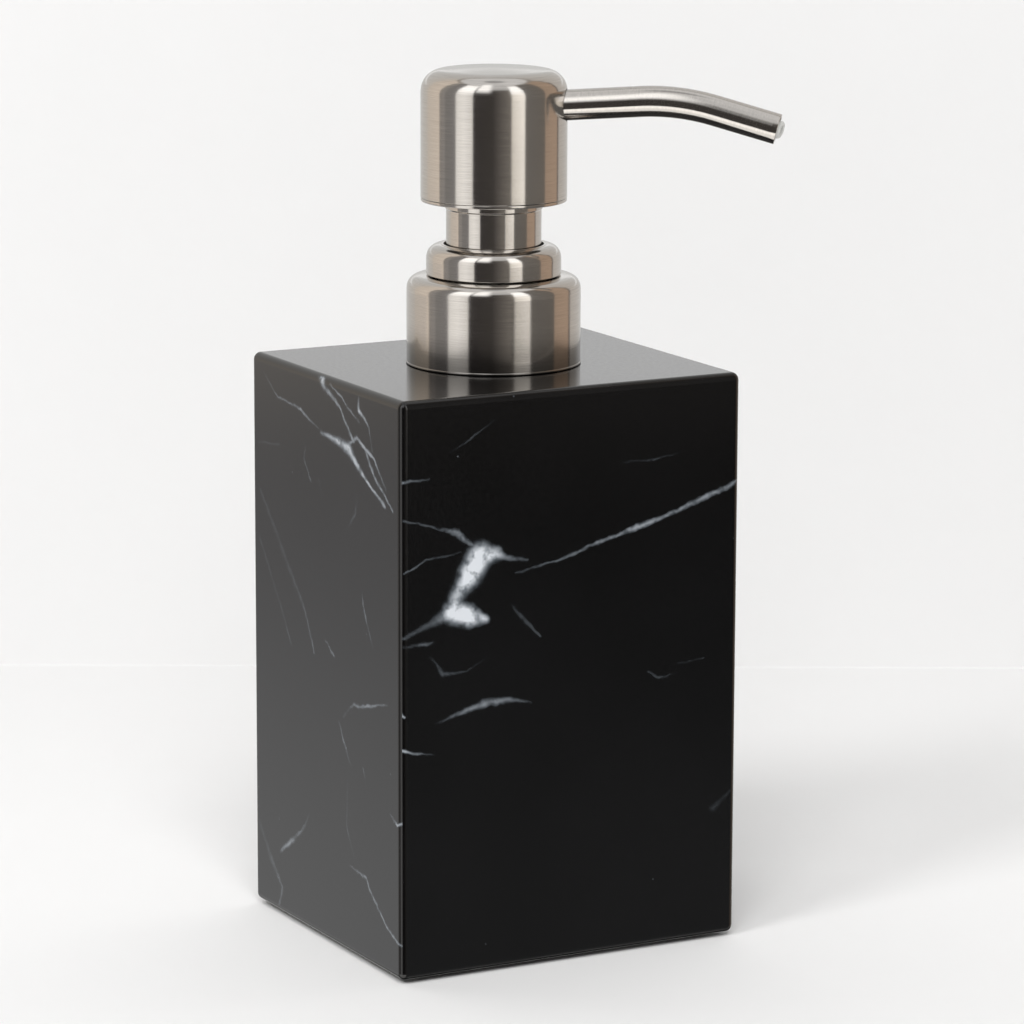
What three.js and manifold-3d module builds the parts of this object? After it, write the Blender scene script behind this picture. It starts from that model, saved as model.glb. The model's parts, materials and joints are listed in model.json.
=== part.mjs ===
// Soap pump dispenser: a marble block bottle with a stainless steel lotion pump.
// Millimetres, +Z up. Origin: centre of the foot pad's underside.
// The wide faces of the block look along -Y and +Y, the narrow ones along -X and +X.

import * as THREE from 'three';
import { mergeVertices } from 'three/addons/utils/BufferGeometryUtils.js';
import { RoundedBoxGeometry } from 'three/addons/geometries/RoundedBoxGeometry.js';
import Module from 'manifold-3d';

const wasm = await Module();
wasm.setup();

// ---------- driving dimensions ----------

const STONE = { width: 75, depth: 66.8, height: 114.2, edge: 1.5, edgeSteps: 3 };
const PAD = { thick: 0.75, inset: 3, corner: 3, gap: 0.05 };
const RESERVOIR = { radius: 26, roof: 12 };
const PLUG = { radius: 28.7, thick: 5.6, spigot: 25.7, height: 9.4, clear: 0.2 };
const SEAL_GROOVE = { depth: 1.8, width: 2.2, edge: 1 };
const NECK = { outer: 12.6, bore: 11, height: 10, shank: 13.2, flange: 18, flangeThick: 2.6, clear: 0.3 };
const THREAD = { pitch: 4.23, turns: 1.25, ridge: 0.7, halfBase: 1.1, halfTip: 0.5, start: 2.6 };

const COLLAR = { radius: 17.3, bottom: 0.1, top: 17.5, shoulder: 2.35, hole: 11.4, crown: 0.25 };
const COLLAR_RIM = { out: 0.12, height: 0.3 };
const LINER = { outer: 16.5, bore: 14, bottom: 1, shelf: 13, chamfer: 2 };
const RING = { radius: 13.4, bottom: 17.85, top: 23.7, shoulder: 2.5, hole: 9.95, crown: 0, lip: 0.5 };
const SHELL_WALL = 0.6;

const HOUSING = { bore: 6.6, wall: 1.4, flange: 13, flangeBottom: 11.1, flangeTop: 12, floor: -30 };
const VALVE = { chamber: 3.4, top: -30.6, cone: -35, throat: 1.6, seat: -36.8, nib: 2.35, ball: 2.6 };
const SOCKET = { bore: 3.05, wall: 1.25, top: -38.5, bottom: -48 };
const DIP_TUBE = { outer: 2.95, bore: 2, top: -39, footHeight: 12.5, bevel: 40 };
const CHAPLET = { skirt: 3.6, flange: 12.1, floor: 12.7, outer: 11, inner: 10.15, top: 22.9 };
const GUIDE = { top: 19.5, wiperRadius: 5.3, wiperFloor: 15.8, wiperDip: 1 };

const STROKE = 8.4;
const STEM = { outer: 4, bore: 1.8, shank: 3.4, bottom: -4.5, top: 36, clear: 0.15 };
const OUTLET = { chamber: 2.8, cone: 31.5, ball: 2.2 };
const PISTON = { radius: 6.3, bottom: -4, top: 3, groove: 5.2, grooveBottom: -2.2, grooveTop: 1.7 };
const SPRING = { radius: 5.2, wire: 0.5, turns: 6 };

const SLEEVE = { radius: 9.45, wall: 0.5, bottom: 13 + STROKE, flare: 9.68, flareStart: 30.7, hook: 10.8 };
const HEAD = { radius: 14.5, bottom: 32.4, seam: 33.1, top: 58.3, shoulder: 4.2, crown: 0.4, halfCrown: 0.3 };
const BASE_RING = { hole: 9.95, plate: 1, rim: 0.65, lip: 0.75, spigotTop: 35.2 };
const CORE = { column: 6.3, bottom: 29, top: 55, channel: 1.5, plate: 36.5, plateThick: 2 };
const CORE_BOSS = { radius: 4.2, reach: 12.9 };
const SPOUT = { outer: 3.05, bore: 2.4, height: 50.55, azimuth: -36, rise: 3.8, drop: 15.5, straight: 29 };
const SPOUT_BEND = { radius: 44, end: 12.9, start: 6 };
const NOZZLE = { outer: 2.2, bore: 1.1, proud: 1 };

const DECK = PAD.thick + PAD.gap + STONE.height;      // top of the stone
const LARGE = 40;                                     // facets round a large diameter
const SMALL = 24;                                     // facets round a small diameter
const CORNER_STEPS = 4;
const DOME_STEPS = 6;                                 // facets down the head's shoulder
const SEAL_STEPS = 7;                                 // facets round the seal ring's section
const SPOUT_STEPS = 16;
const SPOUT_FACETS = 18;
const NOZZLE_FACETS = 14;
const WIRE_FACETS = 6;
const BALL_FACETS = 16;
const TURN_STEPS = 12;                                // facets along one turn of a helix
const SLIP = 0.1;                                     // gap between pieces that fit together

// ---------- materials ----------

function paint(color, roughness, metalness) {
  return () => new THREE.MeshStandardMaterial({ color, roughness, metalness });
}
const marble = paint(0x17171a, 0.25, 0);
const steel = paint(0xb9b3ab, 0.3, 1);
const polymer = paint(0xe9e8e2, 0.45, 0);
const rubber = paint(0x1c1c1c, 0.8, 0);
const foam = paint(0x121212, 0.95, 0);
const ballSteel = paint(0xd8d8d8, 0.1, 1);

// ---------- geometry helpers ----------

// A closed triangle mesh as a manifold solid, without the slivers that a lathe leaves on its axis.
function toSolid(geometry) {
  const bare = geometry.clone();
  bare.deleteAttribute('normal');
  bare.deleteAttribute('uv');
  const welded = mergeVertices(bare);
  const triangles = [];
  for (let i = 0; i < welded.index.count; i += 3) {
    const corners = [0, 1, 2].map((k) => welded.index.getX(i + k));
    if (new Set(corners).size === 3) triangles.push(...corners);
  }
  return new wasm.Manifold(new wasm.Mesh({
    numProp: 3,
    vertProperties: new Float32Array(welded.attributes.position.array),
    triVerts: new Uint32Array(triangles),
  }));
}

function toGeometry(solid) {
  const mesh = solid.getMesh();
  const geometry = new THREE.BufferGeometry();
  geometry.setAttribute('position', new THREE.BufferAttribute(new Float32Array(mesh.vertProperties), 3));
  geometry.setIndex(new THREE.BufferAttribute(new Uint32Array(mesh.triVerts), 1));
  geometry.computeVertexNormals();
  return geometry;
}

// A solid of revolution about Z from [radius, height] corners, listed in either direction.
function revolve(corners, facets = LARGE) {
  const outline = corners.map(([radius, height]) => new THREE.Vector2(radius, height));
  if (THREE.ShapeUtils.isClockWise(outline)) outline.reverse();
  outline.push(outline[0].clone());
  return toSolid(new THREE.LatheGeometry(outline, facets).rotateX(Math.PI / 2));
}

const degrees = THREE.MathUtils.degToRad;

// [radius, height] points on an arc, from one angle to another.
function arc(centre, radius, from, to, steps = CORNER_STEPS) {
  return Array.from({ length: steps + 1 }, (_, i) => {
    const angle = degrees(from + ((to - from) * i) / steps);
    return [centre[0] + radius * Math.cos(angle), centre[1] + radius * Math.sin(angle)];
  });
}

// The corners of a regular polygon that stands for a circle.
function polygon(radius, facets) {
  return Array.from({ length: facets }, (_, i) => {
    const angle = (2 * Math.PI * i) / facets;
    return new THREE.Vector2(radius * Math.cos(angle), radius * Math.sin(angle));
  });
}

function tubeProfile(inner, outer, bottom, top) {
  return [[inner, bottom], [outer, bottom], [outer, top], [inner, top]];
}

// A cylinder along the spout's rising straight, between two distances from the pump's axis.
function barAlongSpout(radius, from, to, facets = SMALL) {
  const bar = new THREE.CylinderGeometry(radius, radius, to - from, facets);
  bar.rotateZ(-Math.PI / 2).translate((from + to) / 2, 0, 0);
  bar.rotateY(-degrees(SPOUT.rise)).translate(0, 0, SPOUT.height);
  return toSolid(bar);
}

class Helix extends THREE.Curve {
  constructor(radius, bottom, height, turns) {
    super();
    Object.assign(this, { radius, bottom, height, turns });
  }

  getPoint(t, target = new THREE.Vector3()) {
    const angle = 2 * Math.PI * this.turns * t;
    const height = this.bottom + this.height * t;
    return target.set(this.radius * Math.cos(angle), this.radius * Math.sin(angle), height);
  }
}

// A screw thread's ridge: a wedge section swept along a helix, pointing out (+1) or in (-1).
function threadRidge(rootRadius, pointing) {
  const helix = new Helix(rootRadius, THREAD.start, THREAD.pitch * THREAD.turns, THREAD.turns);
  const steps = Math.round(THREAD.turns * SMALL);
  const section = [
    [-THREAD.ridge / 2, -THREAD.halfBase],
    [THREAD.ridge, -THREAD.halfTip],
    [THREAD.ridge, THREAD.halfTip],
    [-THREAD.ridge / 2, THREAD.halfBase],
  ];
  const positions = [];
  for (let i = 0; i <= steps; i += 1) {
    const centre = helix.getPoint(i / steps);
    const outward = new THREE.Vector3(centre.x, centre.y, 0).normalize();
    for (const [depth, rise] of section) {
      const point = centre.clone().addScaledVector(outward, pointing * depth);
      positions.push(point.x, point.y, point.z + pointing * rise);
    }
  }
  const triangles = [0, 1, 2, 0, 2, 3];
  const last = steps * section.length;
  triangles.push(last, last + 2, last + 1, last, last + 3, last + 2);
  for (let i = 0; i < steps; i += 1) {
    for (let j = 0; j < section.length; j += 1) {
      const a = i * section.length + j;
      const b = i * section.length + ((j + 1) % section.length);
      triangles.push(a, a + section.length, b, b, a + section.length, b + section.length);
    }
  }
  const geometry = new THREE.BufferGeometry();
  geometry.setAttribute('position', new THREE.Float32BufferAttribute(positions, 3));
  geometry.setIndex(triangles);
  return toSolid(geometry);
}

// ---------- bottle ----------

function stoneBody() {
  const block = new RoundedBoxGeometry(STONE.width, STONE.depth, STONE.height, STONE.edgeSteps, STONE.edge);
  block.translate(0, 0, DECK - STONE.height / 2);
  const plugSeat = PAD.thick + PAD.gap + PLUG.thick + 2 * PLUG.clear;
  const boreRadius = NECK.shank + NECK.clear;
  const core = revolve([
    [0, -1],
    [PLUG.radius + NECK.clear, -1],
    [PLUG.radius + NECK.clear, plugSeat],
    [RESERVOIR.radius, plugSeat],
    [RESERVOIR.radius, DECK - RESERVOIR.roof],
    [boreRadius, DECK - RESERVOIR.roof],
    [boreRadius, DECK + 1],
    [0, DECK + 1],
  ]);
  return toSolid(block).subtract(core);
}

const plugBottom = PAD.thick + PAD.gap + PLUG.clear;
const grooveBottom = plugBottom + PLUG.height - SEAL_GROOVE.edge - SEAL_GROOVE.width;

function basePlug() {
  const grooveRadius = PLUG.spigot - SEAL_GROOVE.depth;
  const grooveTop = grooveBottom + SEAL_GROOVE.width;
  return revolve([
    [0, plugBottom],
    [PLUG.radius, plugBottom],
    [PLUG.radius, plugBottom + PLUG.thick],
    [PLUG.spigot, plugBottom + PLUG.thick],
    [PLUG.spigot, grooveBottom],
    [grooveRadius, grooveBottom],
    [grooveRadius, grooveTop],
    [PLUG.spigot, grooveTop],
    [PLUG.spigot, plugBottom + PLUG.height],
    [0, plugBottom + PLUG.height],
  ], SMALL);
}

function baseSeal() {
  const section = SEAL_GROOVE.depth / 2 + SLIP / 2;
  const centre = [PLUG.spigot - SEAL_GROOVE.depth / 2 + SLIP, grooveBottom + SEAL_GROOVE.width / 2];
  return revolve(arc(centre, section, 0, 315, SEAL_STEPS), SMALL);
}

function footPad() {
  const halfWidth = STONE.width / 2 - PAD.inset;
  const halfDepth = STONE.depth / 2 - PAD.inset;
  const outline = new THREE.Shape();
  outline.absarc(halfWidth - PAD.corner, halfDepth - PAD.corner, PAD.corner, 0, Math.PI / 2);
  outline.absarc(PAD.corner - halfWidth, halfDepth - PAD.corner, PAD.corner, Math.PI / 2, Math.PI);
  outline.absarc(PAD.corner - halfWidth, PAD.corner - halfDepth, PAD.corner, Math.PI, 1.5 * Math.PI);
  outline.absarc(halfWidth - PAD.corner, PAD.corner - halfDepth, PAD.corner, 1.5 * Math.PI, 2 * Math.PI);
  return toSolid(new THREE.ExtrudeGeometry(outline, {
    depth: PAD.thick, bevelEnabled: false, curveSegments: CORNER_STEPS,
  }));
}

// Heights from here on are above the deck, where the pump stands.
function neckInsert() {
  const flangeTop = -RESERVOIR.roof - PLUG.clear;
  const body = revolve([
    [NECK.bore, flangeTop - NECK.flangeThick],
    [NECK.flange, flangeTop - NECK.flangeThick],
    [NECK.flange, flangeTop],
    [NECK.shank, flangeTop],
    [NECK.shank, 0],
    [NECK.outer, 0],
    [NECK.outer, NECK.height],
    [NECK.bore, NECK.height],
  ], SMALL);
  return body.add(threadRidge(NECK.outer, 1));
}

// ---------- closure ----------

// A thin metal cup with a round shoulder, and a hole in a top that rises by the crown towards it.
// The foot is the outer corners of its lower edge.
function steppedShell({ radius, bottom, top, shoulder, hole, crown }, foot) {
  const centre = [radius - shoulder, top - shoulder];
  return [
    [radius - SHELL_WALL, bottom],
    ...foot,
    ...arc(centre, shoulder, 0, 90),
    [hole, top + crown],
    [hole, top + crown - SHELL_WALL],
    ...arc(centre, shoulder - SHELL_WALL, 90, 0),
  ];
}

function collarShell() {
  const rimRadius = COLLAR.radius + COLLAR_RIM.out;
  const rimTop = COLLAR.bottom + COLLAR_RIM.height;
  return revolve(steppedShell(COLLAR, [
    [rimRadius, COLLAR.bottom],
    [rimRadius, rimTop],
    [COLLAR.radius, rimTop + COLLAR_RIM.out],
  ]));
}

function collarLiner() {
  const top = COLLAR.top - SHELL_WALL - 2 * SLIP;
  const body = revolve([
    [LINER.bore, LINER.bottom],
    [LINER.outer, LINER.bottom],
    [LINER.outer, top - LINER.chamfer],
    [LINER.outer - LINER.chamfer, top],
    [COLLAR.hole, top],
    [COLLAR.hole, LINER.shelf],
    [LINER.bore, LINER.shelf],
  ], SMALL);
  return body.add(threadRidge(LINER.bore + THREAD.ridge / 4, -1));
}

function guideRing() {
  const shell = revolve(steppedShell(RING, [[RING.radius, RING.bottom]]));
  const lip = revolve(tubeProfile(RING.hole, RING.hole + RING.lip, RING.top - SHELL_WALL, RING.top + SLIP));
  return shell.add(lip);
}

// ---------- pump unit ----------

function pumpHousing() {
  const outer = HOUSING.bore + HOUSING.wall;
  const socketOuter = SOCKET.bore + SOCKET.wall;
  return revolve([
    [HOUSING.bore, HOUSING.flangeTop],
    [HOUSING.flange, HOUSING.flangeTop],
    [HOUSING.flange, HOUSING.flangeBottom],
    [outer, HOUSING.flangeBottom],
    [outer, HOUSING.floor - 1],
    [socketOuter, VALVE.seat - 1],
    [socketOuter, SOCKET.bottom],
    [SOCKET.bore, SOCKET.bottom],
    [SOCKET.bore, SOCKET.top],
    [VALVE.throat, SOCKET.top],
    [VALVE.throat, VALVE.seat],
    [VALVE.chamber, VALVE.cone],
    [VALVE.chamber, VALVE.top],
    [VALVE.nib, VALVE.top],
    [VALVE.nib, HOUSING.floor],
    [HOUSING.bore, HOUSING.floor],
  ], SMALL);
}

function chaplet() {
  const guideOuter = HOUSING.bore - 3 * SLIP;
  return revolve([
    [STEM.outer + STEM.clear, CHAPLET.skirt],
    [guideOuter, CHAPLET.skirt],
    [guideOuter, CHAPLET.flange],
    [HOUSING.flange, CHAPLET.flange],
    [HOUSING.flange, CHAPLET.floor],
    [CHAPLET.outer, CHAPLET.floor],
    [CHAPLET.outer, CHAPLET.top],
    [CHAPLET.inner, CHAPLET.top],
    [CHAPLET.inner, CHAPLET.floor],
    [guideOuter, CHAPLET.floor],
    [guideOuter, GUIDE.top],
    [GUIDE.wiperRadius, GUIDE.top],
    [GUIDE.wiperRadius, GUIDE.wiperFloor],
    [STEM.outer + STEM.clear, GUIDE.wiperFloor],
  ], SMALL);
}

const stemWiper = () => revolve([
  [STEM.outer + SLIP, GUIDE.wiperFloor + SLIP],
  [GUIDE.wiperRadius - SLIP, GUIDE.wiperFloor + SLIP],
  [GUIDE.wiperRadius - SLIP, GUIDE.top - SLIP],
  [(STEM.outer + GUIDE.wiperRadius) / 2, GUIDE.top - GUIDE.wiperDip],
  [STEM.outer + SLIP, GUIDE.top - SLIP],
], SMALL);

const neckGasket = () => revolve(tubeProfile(
  NECK.bore + SLIP, HOUSING.flange - SLIP, NECK.height + SLIP / 2, HOUSING.flangeBottom - SLIP / 2,
), SMALL);

// The straw, its foot cut at a slant so that it can't seal against the bottle's floor.
function dipTube() {
  const foot = DIP_TUBE.footHeight - DECK;
  const straw = revolve(tubeProfile(DIP_TUBE.bore, DIP_TUBE.outer, foot, DIP_TUBE.top), SMALL);
  const size = 4 * DIP_TUBE.outer;
  const knife = new THREE.BoxGeometry(size, size, size);
  knife.translate(0, 0, -size / 2).rotateY(degrees(DIP_TUBE.bevel));
  knife.translate(0, 0, foot + DIP_TUBE.outer * Math.tan(degrees(DIP_TUBE.bevel)));
  return straw.subtract(toSolid(knife));
}

function returnSpring() {
  const bottom = HOUSING.floor + SPRING.wire + SLIP;
  const top = PISTON.bottom - SPRING.wire - SLIP;
  return toSolid(new THREE.ExtrudeGeometry(new THREE.Shape(polygon(SPRING.wire, WIRE_FACETS)), {
    steps: SPRING.turns * TURN_STEPS,
    bevelEnabled: false,
    extrudePath: new Helix(SPRING.radius, bottom, top - bottom, SPRING.turns),
  }));
}

function ball(radius, centreHeight) {
  const sphere = new THREE.SphereGeometry(radius, BALL_FACETS, BALL_FACETS / 2);
  return toSolid(sphere.translate(0, 0, centreHeight));
}

// The balls rest just above their conical seats.
function inletBall() {
  const apex = VALVE.seat - VALVE.throat;
  return ball(VALVE.ball, apex + VALVE.ball * Math.SQRT2 + SLIP);
}

function outletBall() {
  const rimDrop = Math.sqrt(OUTLET.ball ** 2 - STEM.bore ** 2);
  return ball(OUTLET.ball, OUTLET.cone + rimDrop + SLIP);
}

// ---------- plunger ----------

const pumpStem = () => revolve([
  [STEM.bore, STEM.bottom],
  [STEM.shank, STEM.bottom],
  [STEM.shank, PISTON.top + SLIP],
  [STEM.outer, PISTON.top + SLIP],
  [STEM.outer, STEM.top],
  [OUTLET.chamber, STEM.top],
  [OUTLET.chamber, OUTLET.cone + OUTLET.chamber - STEM.bore],
  [STEM.bore, OUTLET.cone],
], SMALL);

const piston = () => revolve([
  [STEM.shank + SLIP, PISTON.bottom],
  [PISTON.radius, PISTON.bottom],
  [PISTON.radius, PISTON.grooveBottom],
  [PISTON.groove, PISTON.grooveBottom],
  [PISTON.groove, PISTON.grooveTop],
  [PISTON.radius, PISTON.grooveTop],
  [PISTON.radius, PISTON.top],
  [STEM.shank + SLIP, PISTON.top],
], SMALL);

// A rubber ring with two lips that wipe the housing's bore.
function pistonSeal() {
  const lip = HOUSING.bore - SLIP;
  const waist = PISTON.radius - SLIP;
  const bottom = PISTON.grooveBottom + SLIP;
  const top = PISTON.grooveTop - SLIP;
  const lipHeight = (top - bottom) / 3;
  return revolve([
    [PISTON.groove + SLIP, bottom],
    [lip, bottom],
    [waist, bottom + lipHeight],
    [waist, top - lipHeight],
    [lip, top],
    [PISTON.groove + SLIP, top],
  ], SMALL);
}

// ---------- head, built with its spout along +X ----------

function headShell() {
  const centre = [HEAD.radius - HEAD.shoulder, HEAD.top - HEAD.shoulder];
  const cup = revolve([
    [HEAD.radius - SHELL_WALL, HEAD.seam],
    [HEAD.radius, HEAD.seam],
    ...arc(centre, HEAD.shoulder, 0, 90, DOME_STEPS),
    [centre[0] / 2, HEAD.top + HEAD.halfCrown],
    [0, HEAD.top + HEAD.crown],
    [0, HEAD.top + HEAD.crown - SHELL_WALL],
    [centre[0] / 2, HEAD.top + HEAD.halfCrown - SHELL_WALL],
    ...arc(centre, HEAD.shoulder - SHELL_WALL, 90, 0, DOME_STEPS),
  ]);
  return cup.subtract(barAlongSpout(SPOUT.outer + 2 * SLIP, HEAD.radius / 2, 2 * HEAD.radius));
}

function headBaseRing() {
  const spigot = HEAD.radius - SHELL_WALL - SLIP;
  return revolve([
    [BASE_RING.hole, HEAD.bottom],
    [HEAD.radius - SLIP / 2, HEAD.bottom],
    [HEAD.radius - SLIP / 2, HEAD.bottom + BASE_RING.rim],
    [spigot, HEAD.bottom + BASE_RING.rim],
    [spigot, BASE_RING.spigotTop],
    [spigot - BASE_RING.lip, BASE_RING.spigotTop],
    [spigot - BASE_RING.lip, HEAD.bottom + BASE_RING.plate],
    [BASE_RING.hole, HEAD.bottom + BASE_RING.plate],
  ]);
}

// The sleeve hangs from the base ring by its hooked top edge and slides into the guide ring.
function neckSleeve() {
  const bore = SLEEVE.radius - SLEEVE.wall;
  const step = SLEEVE.flare - SLEEVE.radius;
  const hookBottom = HEAD.bottom + BASE_RING.plate + SLIP;
  return revolve([
    [bore, SLEEVE.bottom],
    [SLEEVE.radius, SLEEVE.bottom],
    [SLEEVE.radius, SLEEVE.flareStart],
    [SLEEVE.flare, SLEEVE.flareStart + step],
    [SLEEVE.flare, hookBottom],
    [SLEEVE.hook, hookBottom],
    [SLEEVE.hook, hookBottom + SLEEVE.wall],
    [bore, hookBottom + SLEEVE.wall],
  ]);
}

// The moulded core joins the stem's socket to the spout's socket.
function headCore() {
  const plateRadius = HEAD.radius - SHELL_WALL - 2 * SLIP;
  const body = revolve([
    [0, STEM.top + SLIP],
    [STEM.outer + SLIP / 2, STEM.top + SLIP],
    [STEM.outer + SLIP / 2, CORE.bottom],
    [CORE.column, CORE.bottom],
    [CORE.column, CORE.plate],
    [plateRadius, CORE.plate],
    [plateRadius, CORE.plate + CORE.plateThick],
    [CORE.column, CORE.plate + CORE.plateThick],
    [CORE.column, CORE.top],
    [0, CORE.top],
  ], SMALL);
  const boss = barAlongSpout(CORE_BOSS.radius, 0, CORE_BOSS.reach);
  const riser = revolve([
    [0, STEM.top],
    [CORE.channel, STEM.top],
    [CORE.channel, SPOUT.height + CORE.channel],
    [0, SPOUT.height + CORE.channel],
  ], SMALL / 2);
  const channel = barAlongSpout(CORE.channel, 0, SPOUT_BEND.start, SMALL / 2);
  const socket = barAlongSpout(SPOUT.outer + SLIP, SPOUT_BEND.start - SLIP, HEAD.radius);
  return body.add(boss).subtract(riser).subtract(channel).subtract(socket);
}

// The spout's centreline: a rising straight, an even bend and a falling straight end.
function spoutPath(startReach, extra) {
  const rise = degrees(SPOUT.rise);
  const drop = degrees(SPOUT.drop);
  const climb = new THREE.Vector3(Math.cos(rise), 0, Math.sin(rise));
  const along = (reach) => new THREE.Vector3(0, 0, SPOUT.height).addScaledVector(climb, reach);
  const bendStart = along(SPOUT.straight);
  const bendAt = (turned) => new THREE.Vector3(
    bendStart.x + SPOUT_BEND.radius * (Math.sin(rise) - Math.sin(rise - turned)),
    0,
    bendStart.z + SPOUT_BEND.radius * (Math.cos(rise - turned) - Math.cos(rise)),
  );
  const bend = [0.25, 0.5, 0.75, 1].map((share) => bendAt(share * (rise + drop)));
  const tip = bend.at(-1).clone();
  tip.x += (SPOUT_BEND.end + extra) * Math.cos(drop);
  tip.z -= (SPOUT_BEND.end + extra) * Math.sin(drop);
  const middle = bend.at(-1).clone().lerp(tip, 0.5);
  const lead = [startReach, SPOUT.straight / 2, SPOUT.straight - SPOUT_BEND.start].map(along);
  return new THREE.CatmullRomCurve3([...lead, bendStart, ...bend, middle, tip], false, 'centripetal');
}

function bentTube(outer, bore, path, facets) {
  const section = new THREE.Shape(polygon(outer, facets));
  section.holes.push(new THREE.Path(polygon(bore, facets)));
  return toSolid(new THREE.ExtrudeGeometry(section, {
    steps: SPOUT_STEPS, bevelEnabled: false, extrudePath: path,
  }));
}

const spoutTube = () => bentTube(SPOUT.outer, SPOUT.bore, spoutPath(SPOUT_BEND.start, 0), SPOUT_FACETS);
const nozzlePath = () => spoutPath(SPOUT_BEND.start, NOZZLE.proud);
const nozzleLiner = () => bentTube(NOZZLE.outer, NOZZLE.bore, nozzlePath(), NOZZLE_FACETS);

// ---------- assembly ----------

function addPiece(group, name, solid, material) {
  const mesh = new THREE.Mesh(toGeometry(solid), material());
  mesh.name = name;
  group.add(mesh);
}

function addPieces(group, pieces) {
  for (const [name, make, material] of pieces) addPiece(group, name, make(), material);
  return group;
}

const bottle = addPieces(new THREE.Group(), [
  ['stone_body', stoneBody, marble],
  ['base_plug', basePlug, polymer],
  ['base_seal', baseSeal, rubber],
  ['foot_pad', footPad, foam],
]);

const pump = addPieces(new THREE.Group(), [
  ['neck_insert', neckInsert, steel],
  ['collar_shell', collarShell, steel],
  ['collar_liner', collarLiner, polymer],
  ['guide_ring', guideRing, steel],
  ['chaplet', chaplet, polymer],
  ['stem_wiper', stemWiper, rubber],
  ['neck_gasket', neckGasket, rubber],
  ['pump_housing', pumpHousing, polymer],
  ['dip_tube', dipTube, polymer],
  ['return_spring', returnSpring, steel],
  ['inlet_ball', inletBall, ballSteel],
  ['outlet_ball', outletBall, ballSteel],
  ['pump_stem', pumpStem, polymer],
  ['piston', piston, polymer],
  ['piston_seal', pistonSeal, rubber],
]);
pump.position.z = DECK;

const head = addPieces(new THREE.Group(), [
  ['head_shell', headShell, steel],
  ['head_base_ring', headBaseRing, steel],
  ['neck_sleeve', neckSleeve, steel],
  ['head_core', headCore, polymer],
  ['spout_tube', spoutTube, steel],
  ['nozzle_liner', nozzleLiner, polymer],
]);
head.rotation.z = degrees(SPOUT.azimuth);
pump.add(head);

const dispenser = new THREE.Group();
dispenser.add(bottle, pump);

export default dispenser;
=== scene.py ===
"""Soap pump dispenser: the looks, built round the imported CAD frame. Metres, +Z up."""
import json
import math

import bmesh
import bpy
from mathutils import Matrix, Vector


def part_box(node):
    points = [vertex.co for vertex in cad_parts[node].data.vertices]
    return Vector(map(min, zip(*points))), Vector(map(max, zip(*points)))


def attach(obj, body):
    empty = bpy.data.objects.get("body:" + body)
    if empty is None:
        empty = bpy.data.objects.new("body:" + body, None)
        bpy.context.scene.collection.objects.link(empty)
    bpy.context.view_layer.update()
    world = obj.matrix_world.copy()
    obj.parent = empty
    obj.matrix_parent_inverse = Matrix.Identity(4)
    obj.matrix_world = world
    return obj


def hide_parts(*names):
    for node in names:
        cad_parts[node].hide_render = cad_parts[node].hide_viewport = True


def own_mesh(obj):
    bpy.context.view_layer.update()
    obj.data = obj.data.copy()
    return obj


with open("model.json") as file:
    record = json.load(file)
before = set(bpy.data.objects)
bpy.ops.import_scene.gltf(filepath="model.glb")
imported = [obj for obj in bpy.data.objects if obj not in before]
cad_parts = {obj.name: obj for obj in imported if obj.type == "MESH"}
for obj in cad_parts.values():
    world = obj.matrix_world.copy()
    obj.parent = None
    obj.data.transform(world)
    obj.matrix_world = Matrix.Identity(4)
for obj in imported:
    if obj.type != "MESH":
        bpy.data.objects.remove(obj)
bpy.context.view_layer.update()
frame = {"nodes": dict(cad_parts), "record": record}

MM = 0.001
scene = bpy.context.scene

# ---------- camera ----------

CAMERA = {
    "yaw": math.radians(28.11),        # turned from +Y towards +X
    "pitch": math.radians(11.41),      # looking down
    "roll": math.radians(0.19),
    "distance": 0.9525,
    "aim_height": 0.0845,
    "aim_right": 0.0038,
    "lens": 167.2,
}
LEVEL_RIGHT = Vector((math.cos(CAMERA["yaw"]), -math.sin(CAMERA["yaw"]), 0))
CAMERA_SIDE = Vector((-math.sin(CAMERA["yaw"]), -math.cos(CAMERA["yaw"]), 0))


def make_camera():
    """The camera, aimed from its angles and its distance."""
    forward = -CAMERA_SIDE * math.cos(CAMERA["pitch"]) - Vector((0, 0, math.sin(CAMERA["pitch"])))
    roll = Matrix.Rotation(-CAMERA["roll"], 3, forward)
    right = roll @ LEVEL_RIGHT
    up = roll @ LEVEL_RIGHT.cross(forward)
    target = Vector((0, 0, CAMERA["aim_height"])) + CAMERA["aim_right"] * LEVEL_RIGHT
    data = bpy.data.cameras.new("camera")
    data.lens = CAMERA["lens"]
    data.clip_end = 20
    camera = bpy.data.objects.new("camera", data)
    scene.collection.objects.link(camera)
    turn = Matrix((right, up, -forward)).transposed().to_4x4()
    camera.matrix_world = Matrix.Translation(target - CAMERA["distance"] * forward) @ turn
    scene.camera = camera


make_camera()

# ---------- node helpers ----------


def feed(tree, socket, value):
    """Gives a socket a fixed value, or links another node's socket to it."""
    if isinstance(value, bpy.types.NodeSocket):
        tree.links.new(value, socket)
    else:
        socket.default_value = value


def add_node(tree, kind, inputs=None, **settings):
    """Adds a shader node. inputs maps a socket's name or number to a value or to another node's socket."""
    made = tree.nodes.new(kind)
    for name, value in settings.items():
        setattr(made, name, value)
    for key, value in (inputs or {}).items():
        feed(tree, made.inputs[key], value)
    return made


def maths(tree, operation, *values, clamp=False):
    """The result of a Math node on numbers or on other nodes' sockets."""
    made = add_node(tree, "ShaderNodeMath", dict(enumerate(values)), operation=operation, use_clamp=clamp)
    return made.outputs[0]


def vector_maths(tree, operation, *values):
    """The same for vectors: the result is a vector or a number, as the operation gives it."""
    made = add_node(tree, "ShaderNodeVectorMath", operation=operation)
    for socket, value in zip((s for s in made.inputs if s.enabled), values):
        feed(tree, socket, value)
    return next(s for s in made.outputs if s.enabled)


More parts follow.
